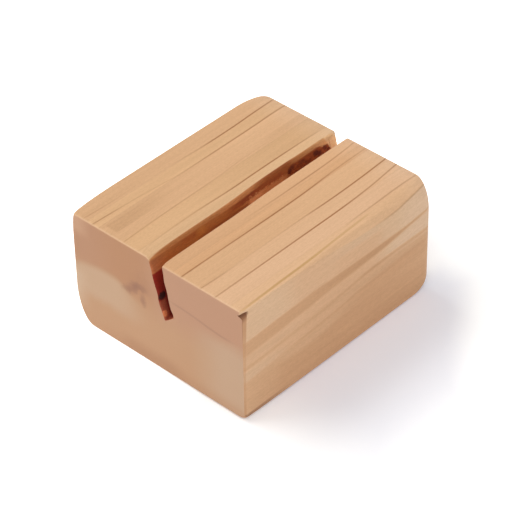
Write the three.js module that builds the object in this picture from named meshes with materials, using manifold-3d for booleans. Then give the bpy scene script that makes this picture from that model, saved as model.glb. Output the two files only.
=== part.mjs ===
// Slotted card holder: a block glued up from bamboo strips on edge, with a leaning slot sawn along its top.
// Millimetres, +Z up. X runs along the slot, the front is towards -Y, and the origin is mid-base.

import * as THREE from 'three';
import { mergeVertices } from 'three/addons/utils/BufferGeometryUtils.js';
import Module from 'manifold-3d';

const wasm = await Module();
wasm.setup();

// Block, and the strips it is glued up from, listed from the back to the front.
// The two strips that the slot cuts take their thickness from the slot.
const blockLength = 60;
const blockHeight = 30;
const strip01Thickness = 5.5;
const strip02Thickness = 3.4;
const strip03Thickness = 6.9;
const strip04Thickness = 5.0;
const strip07Thickness = 2.5;
const strip08Thickness = 5.6;
const strip09Thickness = 4.0;
const strip10Thickness = 4.2;
const strip11Thickness = 3.7;

// Slot, a saw kerf that leans so that the card leans back. Its floor rises towards the front wall.
const slotWidth = 3.2;
const slotDepth = 15;
const slotLeanDegrees = 14;
const slotFloorRise = 2.3;
const slotFloorRadius = 0.35;
const slotBackLand = 2.8;
const slotFrontWeb = 0.5;

// The kerf was sawn by eye: between these places along X it wanders towards the front by this much.
const slotWander = 0.4;
const wanderStartX = 8;
const wanderEndX = -10;

// The slot's lips are rounded all along, and rounder over a stretch at each end.
const lipRadius = 0.45;
const lipEnds = {
  left: { reach: 2.5, radius: 0.9 },
  right: { reach: 4.5, radius: 1.9 },
};

// Long edges are sanded by hand: so much is off across Y and down Z, at the left and at the right end.
// Growth is the power of the distance by which the left values change into the right ones.
const longEdges = {
  topFront: { left: { across: 1.4, down: 1.1 }, right: { across: 4.2, down: 8.5 }, growth: 2 },
  topBack: { left: { across: 0.65, down: 5.5 }, right: { across: 1.0, down: 3.0 }, growth: 2 },
  bottomBack: { left: { across: 4.4, down: 10.0 }, right: { across: 4.0, down: 4.0 }, growth: 2 },
  bottomFront: { left: { across: 2.6, down: 2.0 }, right: { across: 1.0, down: 0.75 }, growth: 0.2 },
};

// At an end a face starts to turn in at this reach from the end, and has turned in by this depth there.
const endEdges = {
  left: {
    top: { reach: 0.7, depth: 0.5 },
    bottom: { reach: 1.2, depth: 0.8 },
    front: { reach: 1.1, depth: 1.0 },
    back: { reach: 13.0, depth: 1.05 },
    slotBackWall: { reach: 0.6, depth: 0.3 },
  },
  right: {
    top: { reach: 2.8, depth: 1.05 },
    bottom: { reach: 5.0, depth: 4.5 },
    front: { reach: 2.0, depth: 0.8 },
    back: { reach: 8.5, depth: 3.4 },
    slotBackWall: { reach: 2.6, depth: 1.1 },
  },
};

// Facets
const edgeSteps = 6;
const floorSteps = 3;
const endSteps = 11;
const endCrowding = 3;
const middleSteps = 8;

// How far cutting shapes stand out of the block
const overrun = 2;

// Derived sizes and places
const lean = THREE.MathUtils.degToRad(slotLeanDegrees);
const leanSin = Math.sin(lean);
const leanCos = Math.cos(lean);
const leanTan = Math.tan(lean);
const sum = (list) => list.reduce((total, value) => total + value, 0);
const mouthWidth = slotWidth / leanCos;
const frontWallDepth = slotDepth - slotFloorRise;
const behindSlot = [strip01Thickness, strip02Thickness, strip03Thickness, strip04Thickness];
const beforeSlot = [strip07Thickness, strip08Thickness, strip09Thickness, strip10Thickness, strip11Thickness];
const halfMouth = (mouthWidth + slotWander) / 2;
const stripThicknesses = [
  ...behindSlot,
  slotBackLand + halfMouth,
  halfMouth + frontWallDepth * leanTan + slotFrontWeb,
  ...beforeSlot,
];
const blockWidth = sum(stripThicknesses);
const leftX = -blockLength / 2;
const rightX = blockLength / 2;
const backY = blockWidth / 2;
const frontY = -blockWidth / 2;
const mouthBackY = backY - sum(behindSlot) - slotBackLand;

const strips = [
  { name: 'strip_01_back_face', color: 0xdaaf86 },
  { name: 'strip_02', color: 0xdaaf84 },
  { name: 'strip_03', color: 0xdbb087 },
  { name: 'strip_04', color: 0xd8ac80 },
  { name: 'strip_05_slot_back', color: 0xdeb58a },
  { name: 'strip_06_slot_front', color: 0xdcb087 },
  { name: 'strip_07', color: 0xd9a97e },
  { name: 'strip_08', color: 0xddb087 },
  { name: 'strip_09', color: 0xdfb38d },
  { name: 'strip_10', color: 0xdfb48f },
  { name: 'strip_11_front_face', color: 0xd2ab88 },
];

// A closed mesh as a solid that can be cut, and back again.
function toSolid(geometry) {
  const bare = geometry.clone();
  bare.deleteAttribute('normal');
  bare.deleteAttribute('uv');
  const merged = mergeVertices(bare);
  const triVerts = new Uint32Array(merged.index.array);
  const vertProperties = new Float32Array(merged.attributes.position.array);
  return new wasm.Manifold(new wasm.Mesh({ numProp: 3, vertProperties, triVerts }));
}

function toGeometry(solid) {
  const mesh = solid.getMesh();
  const geometry = new THREE.BufferGeometry();
  geometry.setAttribute('position', new THREE.BufferAttribute(new Float32Array(mesh.vertProperties), 3));
  geometry.setIndex(new THREE.BufferAttribute(new Uint32Array(mesh.triVerts), 1));
  geometry.computeVertexNormals();
  return geometry;
}

// A closed loft along X. The outlines have equal counts of (y, z) points, counter-clockwise seen from +X.
function loft(stations, outlineAt) {
  const rings = stations.map(outlineAt);
  const count = rings[0].length;
  const positions = rings.flatMap((ring, i) => ring.flatMap((point) => [stations[i], point.x, point.y]));
  const index = [];
  for (let i = 0; i + 1 < rings.length; i++) {
    for (let j = 0; j < count; j++) {
      const a = i * count + j;
      const b = i * count + ((j + 1) % count);
      index.push(a, b, b + count, a, b + count, a + count);
    }
  }
  for (const [a, b, c] of THREE.ShapeUtils.triangulateShape(rings[0], [])) {
    index.push(a, c, b);
  }
  const last = (rings.length - 1) * count;
  for (const [a, b, c] of THREE.ShapeUtils.triangulateShape(rings.at(-1), [])) {
    index.push(last + a, last + b, last + c);
  }
  const geometry = new THREE.BufferGeometry();
  geometry.setAttribute('position', new THREE.Float32BufferAttribute(positions, 3));
  geometry.setIndex(index);
  return geometry;
}

// Points of an elliptical arc in the YZ plane, both ends included.
function arc(centreY, centreZ, radiusY, radiusZ, from, to, steps) {
  return Array.from({ length: steps + 1 }, (_, k) => {
    const angle = THREE.MathUtils.lerp(from, to, k / steps);
    return new THREE.Vector2(centreY + radiusY * Math.cos(angle), centreZ + radiusZ * Math.sin(angle));
  });
}

// How far a face has turned in, at a place along the block.
function turnedIn(face, x) {
  const quarterEllipse = ({ reach, depth }, distance) => {
    const share = THREE.MathUtils.clamp(1 - distance / reach, 0, 1);
    return depth * (1 - Math.sqrt(1 - share * share));
  };
  return quarterEllipse(endEdges.left[face], x - leftX) + quarterEllipse(endEdges.right[face], rightX - x);
}

// The sanded block's outline at a place along it.
function blockOutline(x) {
  const faces = {
    top: blockHeight - turnedIn('top', x),
    bottom: turnedIn('bottom', x),
    front: frontY + turnedIn('front', x),
    back: backY - turnedIn('back', x),
  };
  const corner = (edge, yFace, zFace, quarterTurn) => {
    const along = ((x - leftX) / blockLength) ** edge.growth;
    const across = THREE.MathUtils.lerp(edge.left.across, edge.right.across, along);
    const down = THREE.MathUtils.lerp(edge.left.down, edge.right.down, along);
    const centreY = faces[yFace] + (yFace === 'back' ? -across : across);
    const centreZ = faces[zFace] + (zFace === 'top' ? -down : down);
    const from = (quarterTurn * Math.PI) / 2;
    return arc(centreY, centreZ, across, down, from, from + Math.PI / 2, edgeSteps);
  };
  return [
    ...corner(longEdges.topBack, 'back', 'top', 0),
    ...corner(longEdges.topFront, 'front', 'top', 1),
    ...corner(longEdges.bottomFront, 'front', 'bottom', 2),
    ...corner(longEdges.bottomBack, 'back', 'bottom', 3),
  ];
}

// Distances from an end, crowded towards it.
function endOffsets(reach) {
  return Array.from({ length: endSteps + 1 }, (_, k) => reach * (k / endSteps) ** endCrowding);
}

// Places along the block, even in the middle and crowded at the ends.
function stationsBetween(leftReach, rightReach) {
  const left = endOffsets(leftReach).map((offset) => leftX + offset);
  const right = endOffsets(rightReach).map((offset) => rightX - offset);
  const middle = Array.from({ length: middleSteps - 1 }, (_, k) => {
    return THREE.MathUtils.lerp(left.at(-1), right.at(-1), (k + 1) / middleSteps);
  });
  return [...left, ...middle, ...right.reverse()];
}

function blockStations() {
  const longest = (end) => Math.max(...Object.values(end).map((edge) => edge.reach));
  return stationsBetween(longest(endEdges.left), longest(endEdges.right));
}

// The lips' radius at a place along the slot.
function lipRadiusAt(x) {
  const extra = ({ reach, radius }, distance) => {
    const share = THREE.MathUtils.clamp(1 - distance / reach, 0, 1);
    return (radius - lipRadius) * share * share;
  };
  return lipRadius + extra(lipEnds.left, x - leftX) + extra(lipEnds.right, rightX - x);
}

// Points of a fillet in a corner, from the side towards one neighbour to the side towards the other.
function fillet(corner, before, after, radius, steps) {
  const toBefore = before.clone().sub(corner).normalize();
  const toAfter = after.clone().sub(corner).normalize();
  const half = toBefore.angleTo(toAfter) / 2;
  const inwards = toBefore.clone().add(toAfter).normalize();
  const centre = corner.clone().addScaledVector(inwards, radius / Math.sin(half));
  const from = corner.clone().addScaledVector(toBefore, radius / Math.tan(half)).sub(centre).angle();
  const sweep = -Math.sign(toBefore.cross(toAfter)) * (Math.PI - 2 * half);
  return arc(centre.x, centre.y, radius, radius, from, from + sweep, steps);
}

// The slot's outline at a place along it: floor, walls and rounded lips, and the open space above the block.
function slotOutline(x) {
  const wander = slotWander * THREE.MathUtils.smoothstep(wanderStartX - x, 0, wanderStartX - wanderEndX);
  const lip = lipRadiusAt(x);
  const lipZ = blockHeight - lip;
  const mouthY = mouthBackY - wander;
  const wallY = mouthY + turnedIn('slotBackWall', x) / leanCos;
  const frontLipY = mouthY - mouthWidth - (lip * (1 + leanSin)) / leanCos;
  const backLipY = wallY + (lip * (1 - leanSin)) / leanCos;
  const frontMouth = new THREE.Vector2(mouthY - mouthWidth, blockHeight);
  const backMouth = new THREE.Vector2(wallY, blockHeight);
  const frontFloor = new THREE.Vector2(frontMouth.x - frontWallDepth * leanTan, blockHeight - frontWallDepth);
  const backFloor = new THREE.Vector2(wallY - slotDepth * leanTan, blockHeight - slotDepth);
  return [
    ...arc(frontLipY, lipZ, lip, lip, Math.PI / 2, -lean, edgeSteps),
    ...fillet(frontFloor, frontMouth, backFloor, slotFloorRadius, floorSteps),
    ...fillet(backFloor, frontFloor, backMouth, slotFloorRadius, floorSteps),
    ...arc(backLipY, lipZ, lip, lip, Math.PI - lean, Math.PI / 2, edgeSteps),
    new THREE.Vector2(backLipY, blockHeight + overrun),
    new THREE.Vector2(frontLipY, blockHeight + overrun),
  ];
}

function slotStations() {
  const longest = (end) => Math.max(lipEnds[end].reach, endEdges[end].slotBackWall.reach);
  return [leftX - overrun, ...stationsBetween(longest('left'), longest('right')), rightX + overrun];
}

// What lies between two seams.
function layer(fromY, toY) {
  const box = new THREE.BoxGeometry(blockLength + 2 * overrun, fromY - toY, blockHeight + 2 * overrun);
  box.translate(0, (fromY + toY) / 2, blockHeight / 2);
  return box;
}

const sandedBlock = toSolid(loft(blockStations(), blockOutline));
const sawnBlock = sandedBlock.subtract(toSolid(loft(slotStations(), slotOutline)));

const cardHolder = new THREE.Group();
let seamY = backY;
strips.forEach(({ name, color }, i) => {
  const nextSeamY = seamY - stripThicknesses[i];
  const geometry = toGeometry(sawnBlock.intersect(toSolid(layer(seamY, nextSeamY))));
  const material = new THREE.MeshStandardMaterial({ color, roughness: 0.6, metalness: 0 });
  const strip = new THREE.Mesh(geometry, material);
  strip.name = name;
  cardHolder.add(strip);
  seamY = nextSeamY;
});

export default cardHolder;
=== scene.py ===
"""Slotted bamboo card holder: the looks of the glued-up strips, in the CAD part's frame."""

import math

import bpy
import numpy as np
from mathutils import Matrix, Vector, noise


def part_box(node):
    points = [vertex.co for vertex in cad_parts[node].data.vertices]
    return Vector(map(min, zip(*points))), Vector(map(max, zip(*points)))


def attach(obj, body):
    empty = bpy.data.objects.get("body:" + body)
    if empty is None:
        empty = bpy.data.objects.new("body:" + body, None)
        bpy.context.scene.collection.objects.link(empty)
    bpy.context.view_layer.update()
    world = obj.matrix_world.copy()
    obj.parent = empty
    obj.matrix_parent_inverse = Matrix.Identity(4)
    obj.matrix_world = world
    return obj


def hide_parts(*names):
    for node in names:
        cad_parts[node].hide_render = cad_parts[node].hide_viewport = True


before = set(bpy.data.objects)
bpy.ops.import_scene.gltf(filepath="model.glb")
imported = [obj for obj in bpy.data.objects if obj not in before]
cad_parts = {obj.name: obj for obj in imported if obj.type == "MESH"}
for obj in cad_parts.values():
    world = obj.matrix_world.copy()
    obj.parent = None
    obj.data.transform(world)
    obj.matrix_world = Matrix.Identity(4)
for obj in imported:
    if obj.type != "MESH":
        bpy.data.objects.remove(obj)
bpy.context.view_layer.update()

# Sizes in millimetres, as in the CAD part
MM = 0.001
TO_MM = (1 / MM, 1 / MM, 1 / MM)
HEIGHT = 30.0
LEFT_X, RIGHT_X = -30.0, 30.0
LENGTH = RIGHT_X - LEFT_X
SLOT_WIDTH = 3.2
SLOT_DEPTH = 15.0
SLOT_LEAN = math.radians(14)
SLOT_FLOOR_RISE = 2.3
SLOT_FLOOR_RADIUS = 0.35
SLOT_WANDER = 0.4
WANDER_START_X, WANDER_END_X = 8.0, -10.0
LIP_RADIUS = 0.45
LIP_ENDS = {"back": ((5.0, 1.7), (4.5, 1.65)), "front": ((2.5, 0.9), (2.0, 0.5))}

# Each long edge: across and down at the left end, the same at the right end, and the power of the change
LONG_EDGES = {
    "top_front": ((0.3, 0.25), (4.0, 7.8), 2),
    "top_back": ((0.65, 5.5), (1.0, 3.0), 2),
    "bottom_back": ((4.4, 10.0), (4.0, 4.0), 2),
    "bottom_front": ((2.6, 2.0), (1.0, 0.75), 0.2),
}

# How each face turns in at the left and the right end: reach and depth
END_EDGES = {
    "top": ((0.7, 0.4), (2.6, 0.9)),
    "bottom": ((1.2, 1.1), (5.0, 4.5)),
    "front": ((0.3, 0.05), (2.0, 0.8)),
    "back": ((13.0, 1.05), (8.5, 3.4)),
    "slot_back_wall": ((0.6, 0.3), (2.6, 1.1)),
}

SIN, COS, TAN = math.sin(SLOT_LEAN), math.cos(SLOT_LEAN), math.tan(SLOT_LEAN)
MOUTH = SLOT_WIDTH / COS

# Strips from the back to the front: node, material slot, sRGB tone,
# and how much brighter the left and the right end are
STRIPS = [
    ("strip_01_back_face", "bamboo_natural", (221, 175, 131), -0.055, -0.01),
    ("strip_02", "bamboo_natural", (222, 177, 131), -0.01, -0.02),
    ("strip_03", "bamboo_natural", (221, 175, 131), -0.045, 0.03),
    ("strip_04", "bamboo_warm", (218, 173, 127), 0.02, -0.035),
    ("strip_05_slot_back", "bamboo_pale", (225, 182, 137), -0.065, 0.0),
    ("strip_06_slot_front", "bamboo_natural", (221, 172, 127), -0.05, 0.04),
    ("strip_07", "bamboo_warm", (219, 169, 123), -0.01, -0.01),
    ("strip_08", "bamboo_natural", (221, 175, 131), -0.035, 0.015),
    ("strip_09", "bamboo_pale", (225, 180, 138), -0.03, 0.0),
    ("strip_10", "bamboo_pale", (226, 182, 142), 0.015, -0.02),
    ("strip_11_front_face", "bamboo_front", (225, 181, 139), 0.0, -0.02),
]

# Dark fibre lines on the top, most of them beside a seam. Each has its path and its strength as points:
# distance from the right end, and distance from the back or strength.
FIBRE_LINES = [
    (((0, 5.2), (8, 5.35), (15, 5.6), (25, 5.6), (30, 5.35), (36, 5.05)),
     ((0, 0.5), (5, 0.85), (20, 0.9), (25, 0.4), (36, 0.0))),
    (((44, 4.55), (50, 4.65), (60, 4.3)),
     ((42, 0.0), (54, 0.25), (57, 0.35), (60, 0.1))),
    (((0, 8.75), (5, 8.65), (11, 8.8), (30, 8.85), (35, 8.8), (40, 8.35), (50, 7.6), (60, 7.15)),
     ((0, 0.5), (11, 0.75), (20, 0.7), (30, 0.4), (40, 0.2), (50, 0.25), (57, 0.6), (60, 0.4))),
    (((10, 15.35), (20, 15.15), (30, 15.65), (45, 15.9), (60, 16.35)),
     ((8, 0.0), (25, 0.2), (50, 0.35), (57, 0.4), (60, 0.15))),
    (((0, 21.15), (5, 20.85), (11, 20.7), (25, 20.7), (30, 20.8), (45, 20.5), (54, 20.85), (57, 21.25),
      (60, 22.5)),
     ((0, 0.1), (8, 0.45), (25, 0.95), (35, 0.65), (45, 0.3), (60, 0.1))),
    (((0, 29.35), (5, 29.8), (11, 30.1), (20, 30.2), (30, 30.2), (38, 29.95)),
     ((0, 0.3), (15, 0.65), (20, 0.6), (30, 0.3), (38, 0.0))),
    (((0, 32.75), (11, 32.9), (15, 33.1), (20, 33.35), (25, 33.5), (40, 33.5), (50, 33.4), (60, 33.4)),
     ((0, 0.15), (5, 0.4), (11, 0.4), (15, 0.65), (30, 1.0), (50, 0.75), (57, 0.85), (60, 0.5))),
    (((0, 38.5), (5, 38.75), (11, 39.0), (20, 39.15), (30, 39.0), (50, 39.25), (60, 38.95)),
     ((0, 0.85), (5, 1.0), (20, 0.9), (25, 0.65), (30, 0.25), (48, 0.1), (57, 0.45), (60, 0.2))),
    (((0, 41.5), (5, 42.0), (11, 42.55), (20, 42.95), (35, 43.05), (60, 43.15)),
     ((0, 0.75), (8, 0.65), (15, 0.8), (25, 1.05), (35, 0.9), (50, 0.7), (60, 0.5))),
    (((0, 47.35), (5, 47.1), (15, 47.25), (20, 47.35), (26, 47.85)),
     ((0, 0.25), (5, 0.45), (11, 0.5), (20, 0.25), (26, 0.0))),
]

# The seams are closed: a hairline on the top, a little more below
SEAM_GROOVE = 0.08
TOP_SEAM, UNDERSIDE_SEAM = 0.08, 0.5
SEAM_OFFSETS = (0.0, 0.07, 0.14, 0.22, 0.34)
SEAM_SHARES = (1.0, 0.9, 0.55, 0.18, 0.0)

# Growth layers slope through the block, so a line on the top comes out lower down on the front
LAYER_SLOPE = 0.84

# How finely the outlines and the length are divided
ARC_STEPS, FILLET_STEPS = 24, 8
ACROSS_POINTS, FACE_POINTS, FACE_FINENESS = 9, 80, 5
BACK_WALL_POINTS, SLOT_POINTS = 50, 100
END_STEPS, END_CROWDING, MIDDLE_POINTS = 20, 2.6, 36
SHARP_ANGLE = math.radians(40)
SAME_PLACE, NO_TURN = 1e-9, 1e-6


def span(node):
    """The y of a strip's back and front side, in millimetres."""
    low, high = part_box(node)
    return high.y / MM, low.y / MM


SPANS = [span(row[0]) for row in STRIPS]
LAST = len(STRIPS) - 1
BACK_Y, FRONT_Y = SPANS[0][0], SPANS[LAST][1]
SLOT_BACK, SLOT_FRONT = 4, 5
SLOT_SEAM_Y = SPANS[SLOT_BACK][1]
MOUTH_BACK_Y = SLOT_SEAM_Y + (MOUTH + SLOT_WANDER) / 2


def clamp(value, low=0.0, high=1.0):
    return max(low, min(high, value))


def smooth(value, low, high):
    share = clamp((value - low) / (high - low))
    return share * share * (3 - 2 * share)


def turned_in(face, x):
    """How far a face has turned in towards the block's ends, at x."""
    total = 0.0
    for (reach, depth), distance in zip(END_EDGES[face], (x - LEFT_X, RIGHT_X - x)):
        share = clamp(1 - distance / reach)
        total += depth * (1 - math.sqrt(1 - share * share))
    return total


def corner(edge, x):
    """What sanding has taken off a long edge, across and down, at x."""
    left, right, growth = LONG_EDGES[edge]
    along = clamp((x - LEFT_X) / LENGTH) ** growth
    return [a + (b - a) * along for a, b in zip(left, right)]


def faces_at(x):
    return {
        "top": HEIGHT - turned_in("top", x),
        "bottom": turned_in("bottom", x),
        "front": FRONT_Y + turned_in("front", x),
        "back": BACK_Y - turned_in("back", x),
    }


def surface_z(y, x, level):
    """The top's or bottom's height at y, x, with its rounded long edges."""
    faces = faces_at(x)
    drop = 0.0
    for side, sign in (("back", 1), ("front", -1)):
        across, down = corner(level + "_" + side, x)
        u = clamp(1 - sign * (faces[side] - y) / across)
        drop = max(drop, down * (1 - math.sqrt(1 - u * u)))
    return faces["top"] - drop if level == "top" else faces["bottom"] + drop


def lip_radius(lip, x):
    radius = LIP_RADIUS
    for (reach, end_radius), distance in zip(LIP_ENDS[lip], (x - LEFT_X, RIGHT_X - x)):
        radius += (end_radius - LIP_RADIUS) * clamp(1 - distance / reach) ** 2
    return radius


def arc(centre, radii, start, stop, steps=ARC_STEPS):
    angles = np.linspace(start, stop, steps + 1)
    return [(centre[0] + radii[0] * math.cos(a), centre[1] + radii[1] * math.sin(a)) for a in angles]


def fillet(corner_at, before, after, radius):
    """Points of a fillet in a corner, from the side of one neighbour to the side of the other."""
    at = Vector(corner_at)
    to_before, to_after = (Vector(before) - at).normalized(), (Vector(after) - at).normalized()
    half = to_before.angle(to_after) / 2
    centre = at + (to_before + to_after).normalized() * radius / math.sin(half)
    start = at + to_before * radius / math.tan(half) - centre
    turn = math.copysign(math.pi - 2 * half, -to_before.cross(to_after))
    angle = math.atan2(start.y, start.x)
    return arc(centre, (radius, radius), angle, angle + turn, FILLET_STEPS)


def resample(points, count, turn_share=0.5):
    """Points spaced evenly by a mix of length and turning, so that roundings get their share."""
    line = np.array(points)
    gaps = np.hypot(*np.diff(line, axis=0).T)
    line = line[np.concatenate([[True], gaps > SAME_PLACE])]
    step = np.diff(line, axis=0)
    length = np.hypot(step[:, 0], step[:, 1])
    heading = np.unwrap(np.arctan2(step[:, 1], step[:, 0]))
    turn = np.concatenate([[0.0], np.abs(np.diff(heading))])
    measure = length / length.sum()
    if turn.sum() > NO_TURN:
        measure = (1 - turn_share) * measure + turn_share * turn / turn.sum()
    at = np.concatenate([[0.0], np.cumsum(measure)])
    wanted = np.linspace(0, at[-1], count)
    return [(np.interp(w, at, line[:, 0]), np.interp(w, at, line[:, 1])) for w in wanted]


def seam_points(y, inwards, x, level):
    """Points from a seam inwards across the top or the bottom: (y, z, seam darkness)."""
    strength = TOP_SEAM if level == "top" else UNDERSIDE_SEAM
    groove = SEAM_GROOVE * strength * (1 if level == "top" else -1)
    points = []
    for offset, share in zip(SEAM_OFFSETS, SEAM_SHARES):
        at = y + inwards * offset
        points.append((at, surface_z(at, x, level) - groove * share, strength * share))
    return points


def plain(points):
    return [(y, z, 0.0) for y, z in points]


def across_chain(back_y, front_y, x, level, count=ACROSS_POINTS):
    """The top or bottom of a strip, from its back seam to its front seam."""
    first = seam_points(back_y, -1, x, level)
    last = seam_points(front_y, 1, x, level)
    ys = np.linspace(first[-1][0], last[-1][0], count)[1:-1]
    return first + plain([(y, surface_z(y, x, level)) for y in ys]) + last[::-1]


# The upright edge at the left front corner is cut to a narrow facet: how deep it goes into the end face,
# how far along the front at the top and at the bottom, and how fast it narrows
FACET_IN = 0.2
FACET_TOP, FACET_BOTTOM, FACET_TAPER = 1.35, 0.45, 9.0

# The top corner itself is chipped off down to a line that rises to the right, with a small hollow below it.
# The chip ends, and the hollow and the facet start, over these distances below the line.
CHIP_IN, CHIP_ALONG = 1.1, 1.72
HOLLOW_IN, HOLLOW_DOWN, HOLLOW_RISE = 0.3, 0.995, 0.499
CHIP_FADE, HOLLOW_START, FACET_START = (0.2, 0.8), (0.0, 0.15), (0.0, 0.4)


def cut_corner(outline, x):
    """The front face strip's outline at x with the facet, the chip and the hollow cut off."""
    s = x - LEFT_X
    share = max(0.0, 1 - s / CHIP_ALONG)
    cut = []
    for y, z in outline:
        down = HEIGHT - z
        along = FACET_BOTTOM + (FACET_TOP - FACET_BOTTOM) * math.exp(-down / FACET_TAPER)
        below = down - HOLLOW_DOWN + HOLLOW_RISE * s
        fade = 1 - smooth(below, *CHIP_FADE)
        notch = (CHIP_IN + HOLLOW_IN * smooth(below, *HOLLOW_START)) * fade
        depth = FACET_IN * (1 - s / along) * smooth(below, *FACET_START) + notch * share
        cut.append((max(y, FRONT_Y + depth), z))
    return cut


def face_chain(seam_y, side, x, count=FACE_POINTS):
    """A face strip from its top seam round the outside to its bottom seam. side is 1 at the back."""
    faces = faces_at(x)
    name = "back" if side > 0 else "front"
    top = seam_points(seam_y, side, x, "top")
    bottom = seam_points(seam_y, side, x, "bottom")
    outline = [top[-1][:2]]
    for level, start in (("top", math.pi / 2), ("bottom", 0.0)):
        across, down = corner(level + "_" + name, x)
        z = faces["top"] - down if level == "top" else faces["bottom"] + down
        turned = arc((0.0, z), (across, down), start, start - math.pi / 2)
        outline += [(faces[name] + side * (y - across), z) for y, z in turned]
    outline.append(bottom[-1][:2])
    limit = side * top[-1][0]
    kept = [p for p in outline if side * p[0] >= limit - SAME_PLACE]
    if side < 0:
        kept = cut_corner(resample(kept, FACE_FINENESS * count), x)
    return top + plain(resample(kept, count)[1:-1]) + bottom[::-1]


# Saw marks on the slot's walls, coarse and fine: how often they come along the slot and down, a seed
# and a height. They start below the lip, at this depth and over this much more.
SAW_MARKS = ((0.35, 0.9, 3.0, 0.06), (1.7, 0.5, 9.0, 0.025))
MARKS_FROM, MARKS_OVER = 0.8, 2.0


def saw_marks(x, depth):
    """How far the sawn wall is from flat."""
    total = 0.0
    for along, down, seed, height in SAW_MARKS:
        total += noise.noise(Vector((x * along, depth * down, seed))) * height
    return total * clamp((depth - MARKS_FROM) / MARKS_OVER)


# How far the kerf's back and front wall stray towards the front at the left end: depth and distance
BACK_STRAY = (
    (0, 0.05), (3, 0.2), (5, 0.0), (7, 0.18), (9, 0.3), (10, 0.05), (11.5, 0.08), (13, 0.4), (15, 0.6),
)
FRONT_STRAY = (
    (0, 0.3), (1, 0.5), (2, 0.45), (3, 0.25), (4, 0.07), (5, 0.22), (7, 0.2), (8, 0.06), (10, 0.05),
    (11, 0.12), (11.7, 0.42), (13, 0.3), (15, 0.6),
)
STRAY_REACH, STRAY_START = 5.0, 0.5


def roughen(points, x, normal_y, normal_z, stray):
    """Moves wall points by the saw marks, and by the kerf's stray at the left end."""
    share = 1 - smooth(x, LEFT_X, LEFT_X + STRAY_REACH)
    depths, strays = zip(*stray)
    moved = []
    for y, z in points:
        depth = HEIGHT - z
        by = saw_marks(x, depth)
        towards_front = share * np.interp(depth, depths, strays) * clamp(depth / STRAY_START)
        moved.append((y + normal_y * by - towards_front, z + normal_z * by))
    return moved


def slot_walls(x):
    """Where the back and the front wall would meet the top, and the floor's two corners."""
    mouth = MOUTH_BACK_Y - SLOT_WANDER * smooth(-x, -WANDER_START_X, -WANDER_END_X)
    back = mouth + turned_in("slot_back_wall", x) / COS
    front = mouth - MOUTH
    front_depth = SLOT_DEPTH - SLOT_FLOOR_RISE
    back_floor = (back - SLOT_DEPTH * TAN, HEIGHT - SLOT_DEPTH)
    front_floor = (front - front_depth * TAN, HEIGHT - front_depth)
    return back, front, back_floor, front_floor


def slot_back_chain(seam_y, x, count=BACK_WALL_POINTS):
    """From the seam behind the slot over the back lip and down the back wall to the seam in the slot."""
    lip = lip_radius("back", x)
    back = slot_walls(x)[0]
    start = seam_points(seam_y, -1, x, "top")
    rounding = arc((back + lip * (1 - SIN) / COS, HEIGHT - lip), (lip, lip), math.pi / 2, math.pi - SLOT_LEAN)
    outline = [start[-1][:2]] + rounding + [(SLOT_SEAM_Y, HEIGHT - (back - SLOT_SEAM_Y) / TAN)]
    outline = [(y, min(z, surface_z(y, x, "top"))) for y, z in resample(outline, count)]
    outline = outline[:1] + roughen(outline[1:], x, -COS, SIN, BACK_STRAY)
    return start + plain(outline[1:])


def slot_front_chain(seam_y, x, count=SLOT_POINTS):
    """From the seam in the slot down the back wall, over the floor and up over the front lip."""
    lip = lip_radius("front", x)
    back, front, back_floor, front_floor = slot_walls(x)
    end = seam_points(seam_y, 1, x, "top")
    rounding = arc((front - lip * (1 + SIN) / COS, HEIGHT - lip), (lip, lip), -SLOT_LEAN, math.pi / 2)
    outline = [(SLOT_SEAM_Y, HEIGHT - (back - SLOT_SEAM_Y) / TAN)]
    outline += fillet(back_floor, (back, HEIGHT), front_floor, SLOT_FLOOR_RADIUS)
    outline += fillet(front_floor, back_floor, (front, HEIGHT), SLOT_FLOOR_RADIUS)
    outline += rounding + [end[-1][:2]]
    outline = [(y, min(z, surface_z(y, x, "top"))) for y, z in resample(outline, count)]
    half = count // 2
    back_side = roughen(outline[:half], x, -COS, SIN, BACK_STRAY)
    front_side = roughen(outline[half:-1], x, COS, -SIN, FRONT_STRAY)
    return plain(back_side + front_side) + end[::-1]


def stations():
    """Places along the block, crowded towards its ends."""
    shares = (np.arange(END_STEPS + 1) / END_STEPS) ** END_CROWDING
    left, right = (shares * reach for reach, _ in END_EDGES["back"])
    middle = np.linspace(LEFT_X + left[-1], RIGHT_X - right[-1], MIDDLE_POINTS)[1:-1]
    return np.concatenate([LEFT_X + left, middle, (RIGHT_X - right)[::-1]])


def ring_at(i, x):
    """A strip's closed outline at x, as (y, z, seam darkness)."""
    back_y, front_y = SPANS[i]
    if i == 0:
        return face_chain(front_y, 1, x)[::-1]
    if i == LAST:
        return face_chain(back_y, -1, x)
    if i == SLOT_BACK:
        top = slot_back_chain(back_y, x)
    elif i == SLOT_FRONT:
        top = slot_front_chain(front_y, x)
    else:
        top = across_chain(back_y, front_y, x, "top")
    return top + across_chain(back_y, front_y, x, "bottom")[::-1]


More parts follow.
